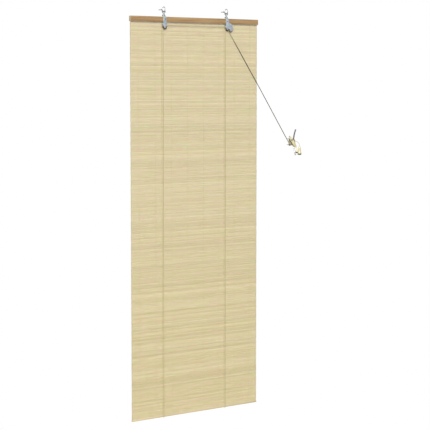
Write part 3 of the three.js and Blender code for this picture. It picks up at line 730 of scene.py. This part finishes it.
def evenly(points, step, samples=24):
    """The smooth curve through the points, as points about one step apart."""
    points = np.array(points, float)
    if len(points) > 2:
        ends = np.vstack([2 * points[0] - points[1], points, 2 * points[-1] - points[-2]])
        t = np.linspace(0, 1, samples, endpoint=False)[:, None]
        spans = [0.5 * (2 * b + (c - a) * t + (2 * a - 5 * b + 4 * c - d) * t ** 2
                        + (3 * b - a - 3 * c + d) * t ** 3)
                 for a, b, c, d in zip(ends, ends[1:], ends[2:], ends[3:])]
        points = np.vstack(spans + [points[-1:]])
    along = distances(points)
    places = np.linspace(0, along[-1], max(2, round(along[-1] / step) + 1))
    return np.stack([np.interp(places, along, points[:, i]) for i in range(3)], axis=1)


ANY_OTHER_WAY = (0.31, 0.9, 0.2)    # no line here starts along it


def swept(name, line, radius, sides=12):
    """A closed bar along a line. radius is one number, or is worked out from (distance, angle).
    Its UV runs once round the bar in U and one unit a metre in V."""
    line = np.asarray(line, float)
    count = len(line)
    ahead = unit(np.gradient(line, axis=0))
    along = distances(line)
    side = np.cross(ahead[0], ANY_OTHER_WAY)
    frames = []
    for direction in ahead:
        side = side - direction * side.dot(direction)
        side = side / np.linalg.norm(side)
        frames.append(side)
    normal = np.array(frames)[:, None, :]
    across = np.cross(ahead, np.array(frames))[:, None, :]
    angle = np.arange(sides) * 2 * math.pi / sides
    reach = radius(along[:, None], angle[None, :]) if callable(radius) else radius
    reach = np.broadcast_to(reach, (count, sides))[..., None]
    turn = angle[None, :, None]
    rings = line[:, None, :] + reach * (np.cos(turn) * normal + np.sin(turn) * across)
    corners = np.vstack([rings.reshape(-1, 3), line[:1], line[-1:]])
    ring, step = np.meshgrid(np.arange(count - 1), np.arange(sides), indexing="ij")
    here, there = ring * sides + step, ring * sides + (step + 1) % sides
    quads = np.stack([here, there, there + sides, here + sides], axis=-1).reshape(-1, 4)
    first, last = count * sides, count * sides + 1
    top = (count - 1) * sides
    caps = [(first, (j + 1) % sides, j) for j in range(sides)]
    caps += [(last, top + j, top + (j + 1) % sides) for j in range(sides)]
    mesh = bpy.data.meshes.new(name)
    mesh.from_pydata(corners.tolist(), [], quads.tolist() + caps)
    u = np.stack([step, step + 1, step + 1, step], axis=-1) / sides
    v = along[np.stack([ring, ring, ring + 1, ring + 1], axis=-1)]
    quad_uv = np.stack([u, v], axis=-1).reshape(-1, 2)
    cap_uv = [(0.5, 0)] * (3 * sides) + [(0.5, along[-1])] * (3 * sides)
    mesh.uv_layers.new(name="UVMap").data.foreach_set("uv", np.vstack([quad_uv, cap_uv]).ravel())
    smoothed(mesh, 40)
    piece = bpy.data.objects.new(name, mesh)
    scene.collection.objects.link(piece)
    return piece


def threaded(wire, pitch, ridge, cut, length, fade, point, tip):
    """The radius of a wire with a rolled thread and a point near its start, from (distance, angle)."""
    def radius(distance, angle):
        spiral = (angle / (2 * math.pi) + distance / pitch) % 1.0
        crest = np.clip(1 - abs(spiral - 0.5) * 4, 0, 1) * ridge
        in_thread = np.clip((length - distance) / fade, 0, 1)
        return (wire + (crest - cut) * in_thread) * np.clip(distance / point, tip, 1)
    return radius


screw_shank = threaded(wire=1.5 * MM, pitch=1.7 * MM, ridge=0.42 * MM, cut=0.22 * MM,
                       length=17 * MM, fade=2 * MM, point=5.5 * MM, tip=0.06)
hook_grey = bright_steel("nickel-plated wire", (0.44, 0.43, 0.425, 1), 0.26)
blued = bright_steel("blued wire", (0.05, 0.1, 0.088, 1), 0.34)
KNUCKLE_RADIUS = 2.5            # in millimetres, like the link's outline
LINK_WIRE = 1.1 * MM
ring_y = mat_middle
ring_radius = 10 * MM
ring_turn = np.radians(np.linspace(-25, -318, 22))
collar_outline = [(1.3 * MM, -0.7 * MM), (3.0 * MM, -0.7 * MM), (3.4 * MM, -0.35 * MM),
                  (3.4 * MM, 0.35 * MM), (3.0 * MM, 0.7 * MM), (1.3 * MM, 0.7 * MM)]
for side in ("left", "right"):
    hook_low, hook_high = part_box(f"{side}_wall_hook")
    x = (hook_low.x + hook_high.x) / 2
    path = [(x, hook_high.y, 0), (x, 12 * MM, 0), (x, 4 * MM, 0), (x, -4 * MM, 0),
            (x, ring_y + ring_radius + 1 * MM, -1.2 * MM)]
    path += [(x, ring_y + ring_radius * math.cos(a), ring_radius * math.sin(a)) for a in ring_turn]
    wire = swept(f"{side}_hook_wire", evenly(path, 0.22 * MM), screw_shank, 18)
    collar = lathe(f"{side}_hook_collar", collar_outline, axis_at((x, -0.9 * MM, 0), (0, 1, 0)), 36)
    finished(wire, hook_grey, "headrail", [f"{side}_wall_hook"])
    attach(collar, "headrail")
    collar.data.materials.append(hook_grey.material)

    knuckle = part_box(f"{side}_hanger")[1].z / MM - KNUCKLE_RADIUS
    half = [(0.2, knuckle), (5.2, knuckle), (6.4, -23.9), (1.7, -17.5), (7.4, -9.0), (6.0, -7.1), (0, -7.0)]
    outline = [(-a, b) for a, b in half] + half[-2::-1]
    path = [(x + a * MM, ring_y, b * MM) for a, b in outline]
    link = swept(f"{side}_link_wire", evenly(path, 0.5 * MM), LINK_WIRE, 14)
    finished(link, blued, "headrail", [f"{side}_link"])


# ---- Pulleys and lock roller ----------------------------------------------------------------------
# Moulded sheaves in an olive-brown plastic with a round-bottomed groove for two strands. The lock's
# roller is the same plastic, with ribs that grip the cords when its pin drops down the slots.
def moulded_plastic():
    finish = Finish("olive-brown plastic", Specular_IOR_Level=0.5)
    swirl = finish.noise((160, 160, 160), 3)
    dust = finish.ramp(finish.noise((900, 900, 900), 2), 0.55, 0.75, 0.35)
    colour = finish.mix(finish.ramp(swirl, 0.35, 0.65), paint(70, 54, 14), paint(98, 80, 28))
    finish.feed("Base Color", finish.mix(dust, colour, paint(126, 112, 70)))
    finish.feed("Roughness", 0.34 + dust * 0.6 + swirl * 0.1)
    finish.bump(finish.noise((1400, 1400, 1400), 1), 0.03 * MM)
    return finish


plastic = moulded_plastic()
PIN_BORE = 1.5 * MM
RIM_ROUND = 0.25 * MM


def wheel_outline(half, radius, groove):
    """From the bore out to the rim, in through the groove and back."""
    flange = 0.6 * MM
    hollow = [(groove + (radius - groove) * (1 - math.sin(t)) ** 1.6, -(half - flange) * math.cos(t))
              for t in np.linspace(0, math.pi, 13)]
    return [(PIN_BORE, -half), (radius - RIM_ROUND, -half), (radius, -half + RIM_ROUND), *hollow,
            (radius, half - RIM_ROUND), (radius - RIM_ROUND, half), (PIN_BORE, half)]


for side in ("left", "right"):
    low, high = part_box(f"{side}_pulley")
    outline = wheel_outline((high.y - low.y) / 2, (high.z - low.z) / 2, 6.0 * MM)
    sheave = lathe(f"{side}_sheave", outline, axis_at((low + high) / 2, (0, 1, 0)), 56)
    finished(sheave, plastic, f"{side}_pulley", [f"{side}_pulley"])

low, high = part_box("lock_roller")
half = (high.y - low.y) / 2
roller_radius = (high.x - low.x) / 2
roller_outline = [
    (PIN_BORE, -half), (roller_radius * 0.88, -half), (roller_radius, -half + 0.5 * MM),
    (roller_radius, 0), (roller_radius, half - 0.5 * MM), (roller_radius * 0.88, half),
    (PIN_BORE, half)]
roller = lathe("ribbed_roller", roller_outline, axis_at((low + high) / 2, (0, 1, 0)), 144,
               ripples=18, ripple_depth=0.6 * MM, ripple_from=roller_radius * 0.95)
finished(roller, plastic, "lock_roller", ["lock_roller"])


# ---- Lift cords -------------------------------------------------------------------------------------
# Twisted polyester cord in three strands. On each side it is knotted to a screw eye behind the rail,
# hangs down the back, turns under the rod, rises up the front and goes over the pulley.
CORD = 1.9 * MM
LAY = 5.5 * MM                  # length of cord in which a strand goes once round
STRANDS = 3
PULL_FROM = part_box("lock_roller")[0].x
PULL_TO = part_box("cord_hitch")[0].x


def three_strands(distance, angle):
    """Three round strands twisted together; together they are as wide as the cord."""
    turned_by = angle - 2 * math.pi * distance / LAY
    lobe = abs(np.cos(turned_by * STRANDS / 2))
    return CORD / 2 * (0.84 + 0.16 * lobe)


def twisted_cord():
    finish = Finish("twisted cord", Sheen_Weight=0.15, Specular_IOR_Level=0.3)
    uv = finish.node("ShaderNodeTexCoord", out="UV")
    u = finish.node("ShaderNodeSeparateXYZ", {0: uv}, out="X")
    v = finish.node("ShaderNodeSeparateXYZ", {0: uv}, out="Y")
    lobe = abs(((u - v / LAY) * math.pi * STRANDS).cosine())
    fibre = finish.noise((1, 1, 1), 2, finish.vector(u * 9 + v * 1200, v * 260, 0.5))
    # Painted shade: the grooves between the strands are painted darker than the strands' crowns.
    colour = finish.mix(finish.ramp(lobe, 0.1, 0.75), paint(148, 138, 96), paint(216, 204, 160))
    faded = finish.ramp(finish.noise((60, 60, 25), 2), 0.5, 0.7, 0.5)
    colour = finish.mix(faded, colour, paint(198, 187, 144))
    # Painted shade: the pull run from the roller to just short of the hitch is painted much darker.
    pull_run_shade = finish.ramp(finish.along("X"), PULL_FROM, PULL_FROM + 60 * MM, 0.97)
    colour = finish.mix(pull_run_shade * (1 - finish.ramp(finish.along("X"), PULL_TO - 20 * MM, PULL_TO)),
                        colour, paint(60, 54, 24))
    colour = finish.mix(fibre * 0.3, colour, paint(128, 120, 82))
    finish.feed("Base Color", colour)
    finish.feed("Roughness", 0.7 + fibre * 0.25)
    finish.bump(fibre, 0.06 * MM)
    return finish


cord_paint = twisted_cord()
CORD_STEP = 0.9 * MM


def cord_end(node, axis, at_top):
    """The middle of a CAD cord's end face, at its far end along an axis."""
    corners = np.array([corner.co for corner in nodes[node].data.vertices])
    edge = corners[:, axis].max() if at_top else corners[:, axis].min()
    near = corners[abs(corners[:, axis] - edge) < 0.05 * MM]
    return (near.min(0) + near.max(0)) / 2


def cord_piece(name, points, body, stands_for, step=CORD_STEP):
    piece = swept(name, evenly(points, step), three_strands, 12)
    return finished(piece, cord_paint, body, stands_for)


def round_wheel(middle, reach, y, degrees):
    """Where a cord lies on a wheel, at these angles up from +X."""
    return [(middle.x + reach * math.cos(a), y, middle.z + reach * math.sin(a))
            for a in np.radians(degrees)]


def overhand_knot(name, middle, size, height):
    """A tight overhand knot on an upright cord."""
    knot = [(size * (np.sin(t) + 2 * np.sin(2 * t)) * 0.3, size * (np.cos(t) - 2 * np.cos(2 * t)) * 0.3,
             -height * np.sin(3 * t)) for t in np.linspace(-0.86, 0.86, 60) * math.pi]
    line = [Vector(point) + middle for point in knot]
    return swept(name, evenly(line, 0.35 * MM), CORD * 0.42, 10)


eye_wire = threaded(wire=0.7 * MM, pitch=0.9 * MM, ridge=0.2 * MM, cut=0.12 * MM,
                    length=8 * MM, fade=1 * MM, point=2 * MM, tip=0.1)
for side in ("left", "right"):
    low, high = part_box(f"{side}_cord_eye")
    x = (low.x + high.x) / 2
    eye_y = cord_end(f"{side}_cord_eye", 2, True)[1]
    ring_radius = 2.2 * MM
    ring_z = low.z + ring_radius + 0.7 * MM
    stem = [(x, eye_y, high.z), (x, eye_y, high.z - 4 * MM), (x, eye_y, ring_z + ring_radius + 1.0 * MM)]
    ring = [(x, eye_y + ring_radius * math.cos(a), ring_z + ring_radius * math.sin(a))
            for a in np.linspace(math.radians(62), math.radians(-225), 14)]

    eye = swept(f"{side}_eye_wire", evenly(stem + ring, 0.2 * MM), eye_wire, 12)
    finished(eye, steel, "headrail", [f"{side}_cord_eye"])

    low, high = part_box(f"{side}_anchor_knot")
    knot = overhand_knot(f"{side}_knot", (low + high) / 2, 2.0 * MM, 1.8 * MM)
    finished(knot, cord_paint, "headrail", [f"{side}_anchor_knot"])

    for face in ("back", "front"):
        node = f"{side}_{face}_cord"
        fall = cord_piece(f"{node}_fall", [cord_end(node, 2, True), cord_end(node, 2, False)],
                          "headrail", [node])
        lifted(fall, node)

    low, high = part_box(f"{side}_cord_bight")
    rod_y, rod_z = (rod_low.y + rod_high.y) / 2, (rod_low.z + rod_high.z) / 2
    reach = (high.y - low.y - CORD) / 2
    under = [(x, rod_y + reach * math.cos(a), rod_z + reach * math.sin(a))
             for a in np.linspace(0, -math.pi, 13)]
    under = [(x, rod_y + reach, high.z), *under, (x, rod_y - reach, high.z)]
    cord_piece(f"{side}_bight", under, "cord_bights", [f"{side}_cord_bight"], 0.5 * MM)

# The left cord crosses over to the right pulley close under the rail.
pulley_low, pulley_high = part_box("left_pulley")
pulley_middle = (pulley_low + pulley_high) / 2
cross_end = cord_end("cross_cord", 0, True)
pulley_wrap = cross_end[2] - pulley_middle.z
over_left = round_wheel(pulley_middle, pulley_wrap, cross_end[1], np.linspace(180, 90, 10))
across = [cross_end * t + np.array(over_left[-1]) * (1 - t) for t in (0.05, 0.5, 1.0)]
cord_piece("cross_cord_run", over_left + across, "headrail", ["cross_cord"])


# ---- Cleat ------------------------------------------------------------------------------------------
# A two-horned cleat cast in grey metal, fettled and left bare, screwed to the wall through its foot by
# two slotted round-head screws.
cleat_low, cleat_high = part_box("cord_cleat")
cleat_middle = (cleat_low + cleat_high) / 2


def cast_metal():
    finish = Finish("bare casting", Metallic=1.0)
    cloud = finish.noise((120, 120, 120), 3)
    grain = finish.noise((1400, 1400, 1400), 2)
    colour = finish.mix(finish.ramp(cloud, 0.35, 0.65), (0.2, 0.205, 0.21, 1), (0.36, 0.36, 0.355, 1))
    # Painted highlight: the lower horn is painted a lighter grey than the upper one, for the light its
    # upturned face catches.
    lower_horn_highlight = finish.ramp(finish.along("Z"), cleat_middle.z - 8 * MM, cleat_middle.z - 26 * MM)
    finish.feed("Base Color", finish.mix(lower_horn_highlight, colour, (0.42, 0.42, 0.41, 1)))
    finish.feed("Roughness", 0.34 + grain * 0.16 + cloud * 0.08)
    finish.bump(grain * 0.5 + cloud * 0.5, 0.12 * MM)
    return finish


casting = from_bmesh("cleat_casting", copied("cord_cleat"))
remesh = casting.modifiers.new("even", "REMESH")
remesh.mode = "VOXEL"
remesh.voxel_size = 0.55 * MM
soften = casting.modifiers.new("fettled", "SMOOTH")
soften.factor = 0.5
soften.iterations = 7
settled(casting)
smoothed(casting.data, 180)
finished(casting, cast_metal(), "headrail", ["cord_cleat"])

for which, slot_turn in (("upper", 0.9), ("lower", 2.4)):
    node = f"cleat_screw_{which}"
    screw = headed_pin(node + "_head", node, 3.3 * MM, 1.5 * MM, 1.6 * MM, slot_turn)
    finished(screw, steel, "headrail", [node])


# ---- Pull cords -------------------------------------------------------------------------------------
# Both strands go over the right pulley, under the ribbed roller and tight across to the cleat, side by
# side. The spare cord is wound round the cleat's post behind its horns.
pulley_low, pulley_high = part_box("right_pulley")
pulley_middle = (pulley_low + pulley_high) / 2
roller_low, roller_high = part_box("lock_roller")
roller_middle = (roller_low + roller_high) / 2
roller_wrap = roller_radius + 0.3 * MM + CORD / 2
STRANDS_APART = 2.25 * MM
for strand, first_angle in (("left", 90), ("right", 180)):
    node = f"pull_cord_{strand}"
    end = cord_end(node, 2, False)
    strand_y = pulley_middle.y + (-STRANDS_APART if strand == "left" else STRANDS_APART) / 2
    over = round_wheel(pulley_middle, pulley_wrap, strand_y, np.linspace(first_angle, 6, 12))
    under = round_wheel(roller_middle, roller_wrap, strand_y, (182, 197, 212.5))
    leave = np.array(under[-1])
    share = (mat_high.x + 12 * MM - leave[0]) / (end[0] - leave[0])
    past_mat = leave * (1 - share) + end * share
    past_mat[1] = strand_y
    run = [leave * (1 - t) + past_mat * t for t in (0.03, 0.5, 0.97)]
    run += [past_mat * (1 - t) + end * t for t in (0.05, 0.5, 1.0)]
    line = evenly([*over, *under, *run], CORD_STEP)
    piece = swept(f"{node}_run", line, three_strands, 12)
    finished(piece, cord_paint, "headrail", [node])

hitch_low, hitch_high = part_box("cord_hitch")
hitch_middle = (hitch_low + hitch_high) / 2
# Each layer is an oval round the upright post, and closer to round further out.
LAYERS = 5
HALF_WIDTHS = np.linspace(5.5 * MM, 13.9 * MM, LAYERS)
HALF_HEIGHTS = np.linspace(9.4 * MM, 13.9 * MM, LAYERS)
TURNS = 2.25
LAYER_DEPTH = 2.15 * MM
sway = np.random.default_rng(7)
coil = []
turned_so_far = 0.0
for number, (half_width, half_height) in enumerate(zip(HALF_WIDTHS, HALF_HEIGHTS)):
    stray = sway.uniform(-0.15 * MM, 0.15 * MM)
    lean = LAYER_DEPTH if number % 2 else -LAYER_DEPTH
    for t in np.linspace(0, 1, 64, endpoint=False):
        angle = turned_so_far + t * TURNS * 2 * math.pi
        coil.append((hitch_middle.x + (half_width + stray * t) * math.cos(angle),
                     hitch_middle.y + lean * (2 * t - 1),
                     hitch_middle.z + (half_height - stray * t) * math.sin(angle)))
    turned_so_far += TURNS * 2 * math.pi
line = evenly(coil, CORD_STEP, samples=4)
hitch = swept("hitch_turns", line, three_strands, 12)
finished(hitch, cord_paint, "headrail", ["cord_hitch"])


# ---- Joiner, bells and their cords ------------------------------------------------------------------
# Turned from a pale close-grained wood and waxed. The joiner is a barrel with a cross hole for its knot, the
# hole's inside painted near-black as painted shade;
# the two bells are hollowed underneath, where the knots sit, and are painted dark brown for a band just
# above the rim.
def turned_wood(name, rim_z=None, hole=None):
    finish = Finish(name, Coat_Weight=0.35, Coat_Roughness=0.2)
    streak = finish.noise((260, 260, 34), 3)
    fibre = finish.noise((1500, 1500, 160), 2)
    tone = finish.ramp(streak * 0.65 + fibre * 0.35, 0.34, 0.66)
    colour = finish.mix(tone, paint(212, 198, 150), paint(244, 238, 196))
    if rim_z is not None:
        # The bell is painted dark brown for a band just above its rim.
        low_down = finish.ramp(finish.along("Z"), rim_z + 6.2 * MM, rim_z + 4.8 * MM)
        colour = finish.mix(low_down, colour, paint(62, 48, 30))
    if hole is not None:
        hole_middle, hole_axis, hole_radius = hole
        offset = finish.node("ShaderNodeVectorMath", {0: finish.place, 1: hole_middle},
                             operation="SUBTRACT")
        square = finish.node("ShaderNodeVectorMath", {0: offset, 1: hole_axis},
                             operation="CROSS_PRODUCT")
        reach = finish.node("ShaderNodeVectorMath", {0: square}, "Value", operation="LENGTH")
        # Painted shade: the inside of the cross hole is painted near-black.
        inside = finish.ramp(reach, hole_radius * 1.12, hole_radius * 1.02)
        colour = finish.mix(inside, colour, paint(22, 17, 9))
    finish.feed("Base Color", colour)
    finish.feed("Roughness", 0.32 + fibre * 0.2)
    finish.bump(fibre, 0.04 * MM)
    return finish


def bell_outline(height, radius):
    """Outside from the bore's top to the rim, then the hollow and the bore, back to the top."""
    bore = 1.5 * MM
    outside = [(bore, 0), (radius * 0.3, 0), (radius * 0.42, 0.3 * MM), (radius * 0.5, height * 0.05),
               (radius * 0.6, height * 0.12), (radius * 0.66, height * 0.25), (radius * 0.72, height * 0.45),
               (radius * 0.84, height * 0.64), (radius * 0.96, height * 0.77), (radius, height * 0.85),
               (radius * 0.99, height * 0.92), (radius * 0.94, height * 0.98), (radius * 0.88, height)]
    inside = [(radius * 0.7, height), (radius * 0.62, height * 0.9), (radius * 0.52, height * 0.76),
              (max(bore, radius * 0.3), height * 0.64), (bore, height * 0.62)]
    return [(r, -h) for r, h in outside + inside]


for which in ("large", "small"):
    node = f"{which}_bell"
    low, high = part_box(node)
    top = Vector(((low.x + high.x) / 2, (low.y + high.y) / 2, high.z))
    outline = bell_outline(high.z - low.z, (high.x - low.x) / 2)
    bell = lathe(node + "_wood", outline, Matrix.Translation(top), 56)
    finished(bell, turned_wood(f"pale wood, {which} bell", low.z), "headrail", [node])

joiner_low, joiner_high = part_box("cord_joiner")
joiner_middle = (joiner_low + joiner_high) / 2
JOINER_LENGTH = 49.7 * MM
JOINER_LEAN = math.radians(34.4)
joiner_up = Vector((-math.sin(JOINER_LEAN), 0, math.cos(JOINER_LEAN)))
joiner_half = JOINER_LENGTH / 2
barrel = [(1.6, -1.0), (3.7, -1.0), (4.3, -0.985), (5.2, -0.92), (5.7, -0.75), (6.0, -0.4), (6.0, 0.4),
          (5.7, 0.75), (5.2, 0.92), (4.3, 0.985), (3.7, 1.0), (1.6, 1.0)]
barrel = [(radius * MM, height * joiner_half) for radius, height in barrel]
joiner = lathe("joiner_barrel", barrel, axis_at(joiner_middle, joiner_up), 56)
HOLE_RADIUS = 2.9 * MM
HOLE_AXIS = Vector((0.359, 0.900, 0.246))
HOLE_DOWN = 12 * MM
hole_at = joiner_middle + joiner_up * (joiner_half - HOLE_DOWN)
drill = lathe("drill", [(0, -20 * MM), (HOLE_RADIUS, -20 * MM), (HOLE_RADIUS, 20 * MM), (0, 20 * MM)],
              axis_at(hole_at, HOLE_AXIS), 32)
carve(joiner, drill)
smoothed(joiner.data)
joiner_wood = turned_wood("pale wood, joiner", hole=(hole_at, HOLE_AXIS, HOLE_RADIUS))
finished(joiner, joiner_wood, "headrail", ["cord_joiner"])


def tail(name, points, stands_for, knot_at):
    """A cord off the hitch that ends in a knot inside its bell."""
    line = evenly([Vector(point) * MM for point in points], 0.6 * MM)
    piece = swept(name, line, three_strands, 12)
    finished(piece, cord_paint, "headrail", stands_for)
    knot = overhand_knot(name + "_knot", Vector(knot_at) * MM, 1.25 * MM, 0.52 * MM)
    knot.data.materials.append(cord_paint.material)
    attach(knot, "headrail")


tail("small_bell_tail", [
    (467.4, -21, -530.4), (464.4, -24, -523.4), (460, -29, -514.2), (457.2, -34.5, -509.5),
    (458.2, -37.3, -511.6), (459.9, -37.5, -515), (474, -37.5, -535.5), (488, -37.5, -556),
    (491.2, -37.5, -559.8), (493, -37.5, -564), (493, -37.5, -574)],
    ["joiner_cord", "small_bell_cord"], (493, -37.5, -575.5))
tail("large_bell_tail", [
    (500.4, -21, -533), (503.6, -25, -534.8), (508, -31, -540.5), (510, -34.6, -547.5),
    (510, -35, -555), (510, -35, -577)],
    ["large_bell_cord"], (510, -35, -579))
